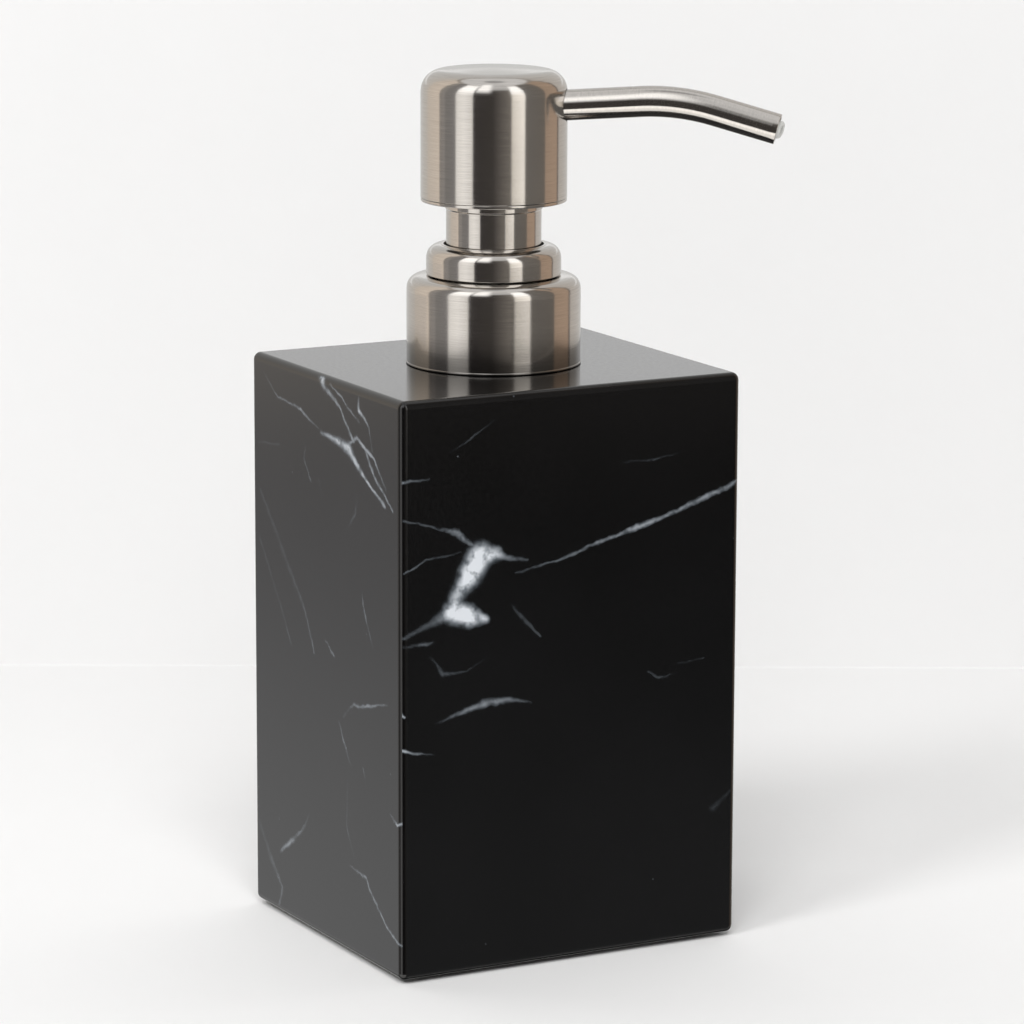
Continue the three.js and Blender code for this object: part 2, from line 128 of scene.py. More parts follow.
def noise(tree, coordinates, scale, detail=3.0, roughness=0.5, output="Fac"):
    """Smooth noise at a place, as a number or as a colour."""
    return add_node(tree, "ShaderNodeTexNoise", {
        "Vector": coordinates, "Scale": scale, "Detail": detail, "Roughness": roughness,
    }).outputs[output]


def fade(tree, value, low, high, to_low=0.0, to_high=1.0):
    """Value mapped smoothly from low..high to to_low..to_high, and held outside."""
    return add_node(tree, "ShaderNodeMapRange", {
        "Value": value, "From Min": low, "From Max": high, "To Min": to_low, "To Max": to_high,
    }, interpolation_type="SMOOTHSTEP").outputs["Result"]


def between(tree, share, start, end):
    """The number that lies a share of the way from start to end."""
    return maths(tree, "MULTIPLY_ADD", share, maths(tree, "SUBTRACT", end, start), start)


def blend_colours(tree, factor, first, second):
    """The first colour where the factor is 0, the second where it is 1."""
    made = add_node(tree, "ShaderNodeMix", data_type="RGBA")
    for name, value in (("Factor_Float", factor), ("A_Color", first), ("B_Color", second)):
        feed(tree, next(s for s in made.inputs if s.identifier == name), value)
    return next(s for s in made.outputs if s.identifier == "Result_Color")


def grey(level):
    return (level, level, level, 1)


def new_material(name, **fixed):
    """A material with a Principled shader whose named sockets are set, and its node tree."""
    material = bpy.data.materials.new(name)
    material.use_nodes = True
    shader = material.node_tree.nodes["Principled BSDF"]
    for socket, value in fixed.items():
        shader.inputs[socket.replace("_", " ")].default_value = value
    return material, material.node_tree, shader


def bump(tree, shader, height, distance, strength):
    """Roughens a shader's surface by a height of up to distance metres."""
    made = add_node(tree, "ShaderNodeBump", {"Height": height, "Distance": distance, "Strength": strength})
    tree.links.new(made.outputs["Normal"], shader.inputs["Normal"])


# ---------- marble ----------

STONE_LOW, STONE_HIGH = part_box("stone_body")
STONE_MIDDLE = (STONE_LOW.z + STONE_HIGH.z) / 2 / MM
DECK = STONE_HIGH.z

# Veins drawn as listed, each a chain of (across, height, half width, strength), in millimetres.
# On the -Y face "across" is X, and on the -X face it is Y. The other two faces show them upside down.
FRONT_VEINS = [
    # the white hourglass, and what trails from it
    [(-20.5, 83.6, 4.0, 1.3), (-22.5, 80.5, 4.0, 1.15), (-25, 77.6, 3.0, 0.75), (-26, 75.5, 2.6, 0.7)],
    [(-26, 75.5, 2.6, 0.7), (-26.3, 73.4, 3.6, 1.25), (-23, 72.2, 3.2, 1.35), (-19.2, 71, 1.4, 0.75)],
    [(-20.5, 83.6, 3.6, 1.2), (-17, 83.6, 2.4, 0.8), (-14.8, 82.6, 1.0, 0.4), (-10, 82, 0.6, 0.22)],
    [(-27, 73, 2.4, 0.5), (-31.5, 71.4, 1.2, 0.26), (-37, 69, 0.6, 0.2)],
    [(-37, 92, 0.4, 0.25), (-28, 89.3, 0.5, 0.25), (-25.4, 88.5, 1.2, 0.6), (-21.5, 85.7, 0.6, 0.35)],
    [(-37, 81.6, 0.4, 0.35), (-32, 83.8, 0.4, 0.25), (-24.5, 85, 0.4, 0.12)],
    # the long diagonal
    [(-12.5, 79.5, 0.4, 0.15), (-2.2, 81.6, 0.5, 0.35), (6.2, 84.1, 0.6, 0.48), (11, 84.9, 0.6, 0.52)],
    [(11, 84.9, 0.6, 0.52), (14, 86, 1.0, 0.58), (21, 87.9, 0.7, 0.5), (31.8, 91.4, 0.9, 0.54),
     (38, 93.8, 0.8, 0.46)],
    # wisps
    [(-27, 104.4, 0.3, 0.04), (-23, 106.6, 0.4, 0.2), (-17.3, 109.9, 0.3, 0.05)],
    [(-38, 99.2, 0.6, 0.6), (-35.2, 99.8, 0.5, 0.35), (-31.5, 99.8, 0.4, 0.12)],
    [(11, 99.2, 0.4, 0.1), (18, 99.1, 0.4, 0.16), (24.5, 100.3, 0.3, 0.04)],
    [(-13.5, 73, 0.5, 0.1), (-12, 71.2, 0.8, 0.18), (-7.3, 66.7, 0.5, 0.22)],
    [(-36.5, 67.5, 0.5, 0.15), (-32, 67.9, 0.7, 0.3), (-30, 67.9, 0.4, 0.05)],
    [(-31.5, 65, 0.3, 0.08), (-28.4, 61, 0.9, 0.25), (-23, 61.4, 0.4, 0.14), (-18.3, 63.9, 0.3, 0.03)],
    [(-30, 51.4, 0.4, 0.1), (-25, 52.9, 0.9, 0.4), (-19.5, 54.4, 1.3, 0.5), (-14, 54.7, 0.9, 0.4),
     (-9, 53.3, 0.4, 0.1)],
    [(-38, 55.8, 0.6, 0.9), (-36.6, 53.7, 0.4, 0.5)],
    [(-38, 47.1, 0.5, 0.7), (-35, 46.3, 0.5, 0.45), (-30.5, 45.6, 0.3, 0.06)],
    [(17, 56.8, 0.5, 0.18), (19.5, 55.6, 0.5, 0.2), (23.5, 55.9, 0.3, 0.05)],
    [(24, 57.9, 0.4, 0.1), (29.7, 58.3, 0.4, 0.12)],
    [(32.3, 27.2, 1.3, 0.12), (36, 30.3, 0.6, 0.1)],
]
LEFT_VEINS = [
    [(28, 111.6, 0.3, 0.1), (21, 107.4, 0.5, 0.3), (15.9, 107.2, 0.5, 0.3), (10.4, 106.7, 0.7, 0.45),
     (2.5, 104.3, 0.4, 0.2)],
    [(1.5, 103.6, 0.8, 0.4), (-6, 103.2, 1.3, 0.7), (-11, 102.4, 2.2, 0.8), (-13, 100.6, 1.4, 0.7)],
    [(-13, 100.6, 1.4, 0.7), (-18, 97.9, 0.8, 0.7), (-26.5, 93.7, 0.7, 0.5)],
    [(2, 115.5, 2.2, 0.9), (0, 113, 1.2, 0.5), (-7.2, 109.7, 0.6, 0.45), (-13, 104.3, 0.8, 0.5)],
    [(-2.5, 113.6, 0.5, 0.3), (-8, 112, 0.6, 0.45), (-15.5, 108.2, 0.5, 0.25)],
    [(-15.3, 113.4, 0.6, 0.2), (-15.4, 110.6, 1.1, 0.65), (-19.9, 108, 0.5, 0.35),
     (-21.2, 103.6, 0.4, 0.25)],
    [(-11, 103.4, 0.8, 0.4), (-14.4, 105.3, 0.7, 0.5), (-18, 103.8, 0.7, 0.6), (-22, 99.1, 0.7, 0.5),
     (-30, 93.2, 0.5, 0.4)],
    [(-18, 103.7, 0.7, 0.6), (-22, 102.5, 0.6, 0.5), (-27.2, 96.8, 0.5, 0.2)],
    [(8.2, 99.8, 0.4, 0.1), (9, 97, 0.5, 0.2), (6, 92.8, 0.5, 0.25)],
    [(2.8, 93.8, 0.4, 0.14), (0.8, 90.6, 0.3, 0.08)],
    [(30.5, 97, 0.4, 0.12), (20.7, 98.2, 0.5, 0.14)],
    [(29.5, 87.2, 0.8, 0.15), (18.7, 76.1, 1.2, 0.12), (9.5, 67.2, 0.8, 0.2), (5, 58.5, 0.5, 0.3)],
    [(30, 77.3, 0.7, 0.12), (21.7, 66.8, 0.7, 0.12), (15.5, 58.4, 0.5, 0.2)],
    [(-16.6, 74.9, 0.4, 0.12), (-17.5, 71.5, 0.6, 0.4), (-21, 65, 0.4, 0.12)],
    [(-0.2, 62, 0.4, 0.25), (-4.3, 59.6, 0.6, 0.35)],
    [(-14.5, 93.5, 0.5, 0.08), (-13.6, 89.6, 0.6, 0.2), (-10, 86.2, 0.4, 0.08)],
    [(-27.5, 54.7, 0.4, 0.3), (-19, 52.8, 0.6, 0.45), (-12.8, 51.7, 0.6, 0.3), (-7.9, 48.3, 0.4, 0.12)],
    [(-6, 47, 0.4, 0.15), (-8, 43.6, 0.6, 0.35), (-11.5, 39, 0.4, 0.12)],
    [(-9.8, 35.7, 0.3, 0.1), (-9.7, 26, 0.4, 0.2), (-12.6, 20.8, 0.4, 0.12)],
    [(-11, 18.7, 0.4, 0.2), (-18, 17.9, 0.6, 0.4), (-21.5, 14.8, 0.6, 0.45), (-27, 10.1, 0.6, 0.5),
     (-36, 6.9, 0.5, 0.4)],
    [(-17, 39.8, 0.5, 0.25), (-18, 38, 0.4, 0.15)],
    [(21, 14, 0.8, 0.35), (16.5, 17, 1.0, 0.5), (10.9, 20.4, 0.7, 0.25), (7.6, 24.8, 0.4, 0.08)],
    [(31.5, 17.6, 1.0, 0.1), (25, 10.5, 1.3, 0.2), (20.5, 6.2, 0.9, 0.3), (22.1, 2.2, 0.8, 0.25)],
    [(-28.6, 33.4, 0.4, 0.2), (-31.6, 31.8, 0.6, 0.6), (-36, 33.6, 0.5, 0.3)],
]
VEIN_POWER = 1.6         # how much fainter the weak veins are than their strength says
SIDE_OFFSET = 200        # how far the narrow faces' veins are drawn from the wide faces', in millimetres
FAINT_VEIN = (0.42, 0.5, 0.58, 1)
FULL_VEIN = (0.74, 0.77, 0.81, 1)
DARK_GROUND = (0.0004, 0.0004, 0.0006, 1)
LIGHT_GROUND = (0.0017, 0.0016, 0.0019, 1)


def vein_group():
    """A group for one straight stretch of vein. Points go through as (across, height, strength so far)."""
    group = bpy.data.node_groups.new("vein_stretch", "ShaderNodeTree")
    for name in ("point", "minus_start", "span"):
        group.interface.new_socket(name, in_out="INPUT", socket_type="NodeSocketVector")
    for name in ("per_length_squared", "start_width", "end_width", "start_strength", "end_strength"):
        group.interface.new_socket(name, in_out="INPUT", socket_type="NodeSocketFloat")
    group.interface.new_socket("point", in_out="OUTPUT", socket_type="NodeSocketVector")
    given = group.nodes.new("NodeGroupInput").outputs
    result = group.nodes.new("NodeGroupOutput")
    place = add_node(group, "ShaderNodeSeparateXYZ", {0: given["point"]}).outputs
    offset = vector_maths(group, "MULTIPLY_ADD", given["point"], (1, 1, 0), given["minus_start"])
    reach = vector_maths(group, "DOT_PRODUCT", offset, given["span"])
    along = maths(group, "MULTIPLY", reach, given["per_length_squared"], clamp=True)
    foot = add_node(group, "ShaderNodeVectorMath", {0: given["span"], "Scale": along}, operation="SCALE")
    away = vector_maths(group, "DISTANCE", offset, foot.outputs[0])
    width = between(group, along, given["start_width"], given["end_width"])
    strength = between(group, along, given["start_strength"], given["end_strength"])
    strongest = maths(group, "MAXIMUM", place["Z"], fade(group, away, 0.0, width, strength, 0.0))
    passed = add_node(group, "ShaderNodeCombineXYZ", {0: place["X"], 1: place["Y"], 2: strongest})
    group.links.new(passed.outputs[0], result.inputs["point"])
    return group


def drawn_veins(tree, point, chains):
    """How strongly these chains show at a point on a face, given as (across, height, 0) in millimetres."""
    group = vein_group()
    for chain in chains:
        for start, end in zip(chain, chain[1:]):
            span = Vector((end[0] - start[0], end[1] - start[1], 0))
            stretch = add_node(tree, "ShaderNodeGroup", node_tree=group)
            for key, value in (("point", point), ("minus_start", (-start[0], -start[1], 0)), ("span", span),
                               ("per_length_squared", 1 / span.length_squared),
                               ("start_width", start[2]), ("end_width", end[2]),
                               ("start_strength", start[3]), ("end_strength", end[3])):
                feed(tree, stretch.inputs[key], value)
            point = stretch.outputs["point"]
    return add_node(tree, "ShaderNodeSeparateXYZ", {0: point}).outputs["Z"]


def face_point(tree, coordinates, millimetres):
    """(across, height, 0) on the face that the surface looks out of, and how upright that face is."""
    normal = add_node(tree, "ShaderNodeSeparateXYZ", {0: coordinates.outputs["Normal"]}).outputs
    place = add_node(tree, "ShaderNodeSeparateXYZ", {0: millimetres}).outputs
    sideways = maths(tree, "ABSOLUTE", normal["X"])
    narrow = maths(tree, "GREATER_THAN", sideways, maths(tree, "ABSOLUTE", normal["Y"]))
    outward = between(tree, narrow, normal["Y"], normal["X"])
    facing = maths(tree, "SUBTRACT", 0.0, maths(tree, "SIGN", outward))
    along_face = maths(tree, "MULTIPLY", between(tree, narrow, place["X"], place["Y"]), facing)
    across = maths(tree, "MULTIPLY_ADD", narrow, SIDE_OFFSET, along_face)
    from_middle = maths(tree, "SUBTRACT", place["Z"], STONE_MIDDLE)
    height = maths(tree, "MULTIPLY_ADD", from_middle, facing, STONE_MIDDLE)
    upright = fade(tree, maths(tree, "ABSOLUTE", normal["Z"]), 0.6, 0.95, 1.0, 0.0)
    return add_node(tree, "ShaderNodeCombineXYZ", {0: across, 1: height, 2: 0.0}).outputs[0], upright


def warped(tree, point, scale, amount):
    """A point pushed about by smooth noise, so that straight stretches wander."""
    push = noise(tree, point, scale, detail=3, roughness=0.6, output="Color")
    centred = vector_maths(tree, "SUBTRACT", push, (0.5, 0.5, 0.5))
    scaled = add_node(tree, "ShaderNodeVectorMath", {0: centred, "Scale": amount}, operation="SCALE")
    return vector_maths(tree, "ADD", point, scaled.outputs[0])


def specks(tree, millimetres):
    """Small pale dots that run through the whole block."""
    cells = add_node(tree, "ShaderNodeTexVoronoi", {"Vector": millimetres, "Scale": 0.16})
    dots = fade(tree, cells.outputs["Distance"], 0.015, 0.045, 1.0, 0.0)
    cell_draw = add_node(tree, "ShaderNodeSeparateXYZ", {0: cells.outputs["Color"]}).outputs["X"]
    return maths(tree, "MULTIPLY", dots, fade(tree, cell_draw, 0.6, 1.0, 0.0, 0.3))


def make_marble():
    """Polished black marble: drawn veins with smoky strength, small specks, and a cloudy ground."""
    material, tree, shader = new_material("black_marble", IOR=1.5, Coat_Weight=0.3, Coat_Roughness=0.13)
    coordinates = add_node(tree, "ShaderNodeTexCoord")
    scaled = add_node(tree, "ShaderNodeVectorMath", {0: coordinates.outputs["Object"], "Scale": 1 / MM},
                      operation="SCALE")
    millimetres = scaled.outputs[0]
    point, upright = face_point(tree, coordinates, millimetres)
    wandering = warped(tree, warped(tree, point, 0.12, 1.8), 0.8, 0.7)
    flat = vector_maths(tree, "MULTIPLY", wandering, (1, 1, 0))
    side_chains = [[(across + SIDE_OFFSET, *rest) for across, *rest in chain] for chain in LEFT_VEINS]
    drawn = drawn_veins(tree, flat, FRONT_VEINS + side_chains)
    smoke = fade(tree, noise(tree, millimetres, 0.45, detail=4, roughness=0.6), 0.28, 0.6, 0.55, 1.1)
    drawn = maths(tree, "MULTIPLY", maths(tree, "MULTIPLY", drawn, smoke), upright)
    strength = maths(tree, "MAXIMUM", drawn, specks(tree, millimetres), clamp=True)
    vein = blend_colours(tree, strength, FAINT_VEIN, FULL_VEIN)
    cloud = fade(tree, noise(tree, millimetres, 0.03, detail=5), 0.3, 0.7)
    ground = blend_colours(tree, cloud, DARK_GROUND, LIGHT_GROUND)
    tint = blend_colours(tree, maths(tree, "POWER", strength, VEIN_POWER), ground, vein)
    tree.links.new(tint, shader.inputs["Base Color"])
    grain = noise(tree, millimetres, 1.2, detail=4)
    tree.links.new(fade(tree, grain, 0.2, 0.8, 0.12, 0.18), shader.inputs["Roughness"])
    bump(tree, shader, noise(tree, millimetres, 2.5, detail=3), 0.000004, 0.3)
    return material


# ---------- metals ----------


STEEL = (0.64, 0.61, 0.575)
PAINTED_SHADE_HEIGHT = 9 * MM         # how far up from the stone the steel's colour is darkened: a painted reflection of the black stone
SCRATCHES = (12.0, 6500.0, 1.0)        # a turn of a piece, and a metre along it, in the noise's units


def make_brushed_steel(name, colour, roughness):
    """Steel with fine scratches along the mesh's U direction, which runs round each turned piece."""
    material, tree, shader = new_material(name, Metallic=1.0, Anisotropic=0.6, Anisotropic_Rotation=0.25)
    uv = add_node(tree, "ShaderNodeUVMap", uv_map="turned").outputs["UV"]
    stretched = add_node(tree, "ShaderNodeMapping", {"Vector": uv, "Scale": SCRATCHES})
    scratches = noise(tree, stretched.outputs["Vector"], 1.0, detail=4, roughness=0.7)
    place = add_node(tree, "ShaderNodeTexCoord").outputs["Object"]
    handling = noise(tree, place, 90.0, detail=3)
    low = [c * 0.89 for c in colour] + [1]
    high = [min(1.0, c * 1.09) for c in colour] + [1]
    tint = blend_colours(tree, fade(tree, scratches, 0.25, 0.75), low, high)
    height = add_node(tree, "ShaderNodeSeparateXYZ", {0: place}).outputs["Z"]
    # painted reflection: the steel's colour darkens towards the deck, standing in for the black marble that
    # the steel's base mirrors
    painted_shade = blend_colours(tree, fade(tree, height, DECK, DECK + PAINTED_SHADE_HEIGHT, 0.6, 0.0), tint, grey(0.02))
    tree.links.new(painted_shade, shader.inputs["Base Color"])
    streaks = fade(tree, scratches, 0.2, 0.8, roughness - 0.04, roughness + 0.04)
    smudged = maths(tree, "ADD", streaks, fade(tree, handling, 0.35, 0.75, -0.015, 0.02))
    tree.links.new(smudged, shader.inputs["Roughness"])
    tangent = add_node(tree, "ShaderNodeTangent", direction_type="UV_MAP", uv_map="turned")
    tree.links.new(tangent.outputs["Tangent"], shader.inputs["Tangent"])
    bump(tree, shader, scratches, 0.00001, 0.3)
    return material


# ---------- plastics and rubber ----------


def make_moulded(name, colour, roughness, grain_scale=2500.0, depth=0.00001, **fixed):
    """A moulded material: slightly cloudy colour, and a fine surface grain."""
    material, tree, shader = new_material(name, **fixed)
    place = add_node(tree, "ShaderNodeTexCoord").outputs["Object"]
    cloud = noise(tree, place, 70.0, detail=4)
    darker = [c * 0.88 for c in colour] + [1]
    tint = blend_colours(tree, fade(tree, cloud, 0.3, 0.7), darker, [*colour, 1])
    tree.links.new(tint, shader.inputs["Base Color"])
    grain = noise(tree, place, grain_scale, detail=2)
    patchy = fade(tree, grain, 0.3, 0.7, roughness - 0.06, roughness + 0.06)
    tree.links.new(patchy, shader.inputs["Roughness"])
    bump(tree, shader, grain, depth, 0.4)
    return material


materials = {
    "black_marble": make_marble(),
    "steel": make_brushed_steel("brushed_steel", STEEL, 0.14),
    "spring_steel": make_moulded("spring_wire", (0.55, 0.55, 0.55), 0.3, Metallic=1.0),
    "ball_steel": make_moulded("polished_ball", (0.7, 0.7, 0.7), 0.12, Metallic=1.0),
    "white_polymer": make_moulded("white_polymer", (0.8, 0.8, 0.77), 0.42),
    "natural_polymer": make_moulded("natural_polymer", (0.74, 0.75, 0.72), 0.35),
    "black_rubber": make_moulded("black_rubber", (0.02, 0.02, 0.02), 0.7),
    "foot_foam": make_moulded("foot_foam", (0.015, 0.015, 0.015), 0.9, grain_scale=1200.0, depth=0.00006),
}
node_slot = {entry["node"]: entry["material_slot"] for entry in frame["record"]["subparts"]}
body_nodes = frame["record"]["behaviour"]["bodies"]
node_body = {node: body for body, members in body_nodes.items() for node in members}

# ---------- mesh helpers ----------

ROUND = 128                    # facets round a turned piece
SHARP = math.radians(38)
GENTLE = math.radians(40)      # a corner that turns less than this is part of a curve
FILLET = 0.12 * MM
EVEN_CURVE = 1.0               # a radius so large that a gentle corner takes up both its stretches


def meridian(node, azimuth=0.0):
    """The closed (radius, height) outline of a turned CAD node, read in the half plane behind azimuth."""
    back = Matrix.Rotation(-azimuth, 3, "Z")
    mesh = frame["nodes"][node].data
    places = {}
    for vertex in mesh.vertices:
        point = back @ vertex.co
        if abs(point.y) < 2e-6 and point.x < 1e-6:
            places[vertex.index] = (abs(round(point.x, 6)), round(point.z, 6))
    neighbours = {}
    for edge in mesh.edges:
        first, second = (places.get(i) for i in edge.vertices)
        if first and second and first != second:
            neighbours.setdefault(first, set()).add(second)
            neighbours.setdefault(second, set()).add(first)
    start = min(neighbours, key=lambda place: (len(neighbours[place]), place))
    path, previous = [start], None
    while True:
        onward = [n for n in sorted(neighbours[path[-1]]) if n != previous]
        if not onward or onward[0] == start:
            break
        previous = path[-1]
        path.append(onward[0])
    return [Vector(place) for place in path]


def above_deck(*corners):
    """Outline corners from (radius, height above the deck) in millimetres."""
    return [Vector((radius * MM, DECK + height * MM)) for radius, height in corners]


def corner_arc(before, corner, after, radius, steps):
    """Points that round one corner of an outline."""
    to_before = (before - corner).normalized()
    to_after = (after - corner).normalized()
    half = to_before.angle(to_after) / 2
    if half > math.radians(89.5):
        return [corner]
    reach = min(radius / math.tan(half), 0.48 * (before - corner).length, 0.48 * (after - corner).length)
    radius = reach * math.tan(half)
    centre = corner + (to_before + to_after).normalized() * radius / math.sin(half)
    start = (corner + to_before * reach - centre).normalized()
    end = (corner + to_after * reach - centre).normalized()
    return [centre + radius * start.slerp(end, i / steps) for i in range(steps + 1)]


def softened(path, fillet=FILLET):
    """A closed outline with its gentle corners joined into curves and its sharp ones broken."""
    soft = []
    for i, corner in enumerate(path):
        before, after = path[i - 1], path[(i + 1) % len(path)]
        turn = math.pi - (before - corner).angle(after - corner)
        if corner.x < 1e-6:
            soft.append(corner)
        elif turn < GENTLE:
            soft += corner_arc(before, corner, after, EVEN_CURVE, 3)
        else:
            soft += corner_arc(before, corner, after, fillet, 4)
    return soft


def finer(path, longest):
    """The closed path with its long stretches divided."""
    fine = []
    for start, end in zip(path, path[1:] + path[:1]):
        parts = max(1, math.ceil((end - start).length / longest))
        fine += [start.lerp(end, i / parts) for i in range(parts)]
    return fine


def turned_mesh(path, facets=ROUND):
    """A bmesh turned round Z from a closed path, with U round the axis and V along the path."""
    bm = bmesh.new()
    layer = bm.loops.layers.uv.new("turned")
    travelled = [0.0]
    for start, end in zip(path, path[1:] + path[:1]):
        travelled.append(travelled[-1] + (end - start).length)
    rings = []
    for point in path:
        if point.x < 1e-6:
            rings.append([bm.verts.new((0, 0, point.y))] * (facets + 1))
            continue
        angles = [2 * math.pi * k / facets for k in range(facets)]
        ring = [bm.verts.new((point.x * math.cos(a), point.x * math.sin(a), point.y)) for a in angles]
        rings.append(ring + ring[:1])
    for i, lower in enumerate(rings):
        upper = rings[(i + 1) % len(rings)]
        if lower[0] is lower[1] and upper[0] is upper[1]:
            continue
        for k in range(facets):
            corners = [(lower[k], k, i), (lower[k + 1], k + 1, i),
                       (upper[k + 1], k + 1, i + 1), (upper[k], k, i + 1)]
            if lower[0] is lower[1]:
                del corners[1]
            elif upper[0] is upper[1]:
                del corners[2]
            face = bm.faces.new([vertex for vertex, _, _ in corners])
            for loop, (_, column, row) in zip(face.loops, corners):
                loop[layer].uv = (column / facets, travelled[row])
    return bm


def as_object(name, bm):
    """Turns a bmesh into an object in the scene, with its faces looking out."""
    bmesh.ops.recalc_face_normals(bm, faces=bm.faces)
    mesh = bpy.data.meshes.new(name)
    bm.to_mesh(mesh)
    bm.free()
    made = bpy.data.objects.new(name, mesh)
    scene.collection.objects.link(made)
    return made


def dress(piece, node):
    """Finishes the piece for a CAD node: smooth with sharp edges, in its material, on its body."""
    piece.data.shade_smooth()
    piece.data.set_sharp_from_angle(angle=SHARP)
    piece.modifiers.new("flat_faces", "WEIGHTED_NORMAL").keep_sharp = True
    piece.data.materials.clear()
    piece.data.materials.append(materials[node_slot[node]])
    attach(piece, node_body[node])
    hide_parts(node)
    return piece


def carve(piece, tool, operation="DIFFERENCE"):
    """Cuts a tool out of a piece, or joins it on, for good."""
    modifier = piece.modifiers.new("carve", "BOOLEAN")
    modifier.object = tool
    modifier.operation = operation
    modifier.solver = "EXACT"
    bpy.context.view_layer.update()
    result = piece.evaluated_get(bpy.context.evaluated_depsgraph_get())
    mesh = bpy.data.meshes.new_from_object(result)
    piece.modifiers.remove(modifier)
    piece.data = mesh
    bpy.data.objects.remove(tool)


def refined(node, facets=ROUND, fillet=FILLET):
    """A turned CAD node made again, finely, with its edges broken."""
    azimuth = SPOUT["azimuth"] if node_body[node] == "head" else 0.0
    path = softened(meridian(node, azimuth), fillet)
    return dress(as_object(node + "_fine", turned_mesh(path, facets)), node)


# ---------- spout ----------

# The spout's centreline, as the CAD has it: a rising straight, an even bend and a falling straight end.
SPOUT = {
    "azimuth": math.radians(-36),
    "height": DECK + 50.55 * MM,
    "rise": math.radians(3.8),
    "drop": math.radians(15.5),
    "straight": 29 * MM,
    "bend": 44 * MM,
    "end": 12.9 * MM,
    "start": 6 * MM,
    "outer": 3.05 * MM,
    "bore": 2.4 * MM,
}
SPOUT_LENGTH = SPOUT["straight"] + SPOUT["bend"] * (SPOUT["rise"] + SPOUT["drop"]) + SPOUT["end"]


def spout_place(travel):
    """The centreline's (reach, height) and slope, at a distance along it from the pump's axis."""
    rise, drop, bend = SPOUT["rise"], SPOUT["drop"], SPOUT["bend"]
    straight = min(travel, SPOUT["straight"])
    place = Vector((math.cos(rise), math.sin(rise))) * straight + Vector((0, SPOUT["height"]))
    turned_by = min(max(travel - SPOUT["straight"], 0) / bend, rise + drop)
    slope = rise - turned_by
    place += Vector((math.sin(rise) - math.sin(slope), math.cos(slope) - math.cos(rise))) * bend
    beyond = max(travel - SPOUT["straight"] - bend * (rise + drop), 0)
    return place + Vector((math.cos(slope), math.sin(slope))) * beyond, slope


def along_spout(path, facets, moved=lambda sideways, travel: travel):
    """A bmesh turned from a (radius, travel) path, then bent so that its axis is the spout's centreline."""
    bm = turned_mesh(finer(path, 1.2 * MM), facets)
    swing = Matrix.Rotation(SPOUT["azimuth"], 3, "Z")
    for vertex in bm.verts:
        place, slope = spout_place(moved(vertex.co.y, vertex.co.z))
        upward = Vector((-math.sin(slope), math.cos(slope))) * vertex.co.x
        vertex.co = swing @ Vector((place.x + upward.x, vertex.co.y, place.y + upward.y))
    return bm


def bar_along_spout(radius, start, end):
    """A plain round bar on the spout's line, for cutting with."""
    corners = [Vector((0, start)), Vector((radius, start)), Vector((radius, end)), Vector((0, end))]
    return as_object("bar", along_spout(corners, 64))


def make_spout():
    """The bent steel tube, its ends' edges just broken."""
    outer, bore, start = SPOUT["outer"], SPOUT["bore"], SPOUT["start"]
    corners = [(bore, start), (outer, start), (outer, SPOUT_LENGTH), (bore, SPOUT_LENGTH)]
    path = softened([Vector(corner) for corner in corners], 0.1 * MM)
    dress(as_object("spout_tube_fine", along_spout(path, 64)), "spout_tube")


NOZZLE = {"outer": 2.2 * MM, "tip": 1.8 * MM, "bore": 0.85 * MM, "proud": 0.8 * MM, "round": 0.9 * MM,
          "slant": math.radians(14)}


def make_nozzle():
    """The plastic tube in the spout. Its rounded tip stands proud and is cut at a slight slant."""
    end = SPOUT_LENGTH - MM / 2
    outer, bore, start = NOZZLE["outer"], NOZZLE["bore"], SPOUT["start"]
    far = SPOUT_LENGTH + NOZZLE["proud"]
    corners = [Vector(c) for c in ((bore, start), (outer, start), (outer, end), (NOZZLE["tip"], end),
                                   (NOZZLE["tip"], far), (bore, far))]
    path = corners[:4]
    path += corner_arc(corners[3], corners[4], corners[5], NOZZLE["round"], 8)
    path += corner_arc(corners[4], corners[5], corners[0], 0.15 * MM, 3)

    def slanted(sideways, travel):
        return travel + max(0.0, travel - end) / (far - end) * math.tan(NOZZLE["slant"]) * sideways

    dress(as_object("nozzle_liner_fine", along_spout(path, 48, slanted)), "nozzle_liner")


# ---------- bottle ----------

EDGE = 1.5 * MM          # the block's broken edges
PAD = {"corner": 3 * MM, "rim": 0.15 * MM}


def scaled_cube(low, high):
    """A bmesh box between two corners."""
    bm = bmesh.new()
    bmesh.ops.create_cube(bm, size=1.0)
    bmesh.ops.scale(bm, vec=high - low, verts=bm.verts)
    bmesh.ops.translate(bm, vec=(low + high) / 2, verts=bm.verts)
    return bm


def make_stone():
    """The block: rounded edges, drilled from below, with the neck's hole in its top."""
    bm = scaled_cube(STONE_LOW, STONE_HIGH)
    bmesh.ops.bevel(bm, geom=bm.edges[:], offset=EDGE, segments=6, profile=0.5, affect="EDGES")
    block = as_object("marble_block", bm)
    drilled = meridian("stone_body")
    drilled.sort(key=lambda place: (place.y, -place.x))
    core = [place for place in drilled if place.x < STONE_HIGH.y - EDGE]
    core[0].y -= MM
    core[-1].y += MM
    drill = [Vector((0, core[0].y)), *core, Vector((0, core[-1].y))]
    carve(block, as_object("core_drill", turned_mesh(drill)))
    dress(block, "stone_body")


def make_foot_pad():
    """The thin foam sheet under the block."""
    bm = scaled_cube(*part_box("foot_pad"))
    upright = [e for e in bm.edges if abs(e.verts[0].co.z - e.verts[1].co.z) > MM / 2]
    bmesh.ops.bevel(bm, geom=upright, offset=PAD["corner"], segments=10, profile=0.5, affect="EDGES")
    rims = [e for e in bm.edges if abs(e.verts[0].co.z - e.verts[1].co.z) < MM / 100]
    bmesh.ops.bevel(bm, geom=rims, offset=PAD["rim"], segments=3, profile=0.5, affect="EDGES")
    dress(as_object("foot_pad_fine", bm), "foot_pad")


# ---------- threads ----------

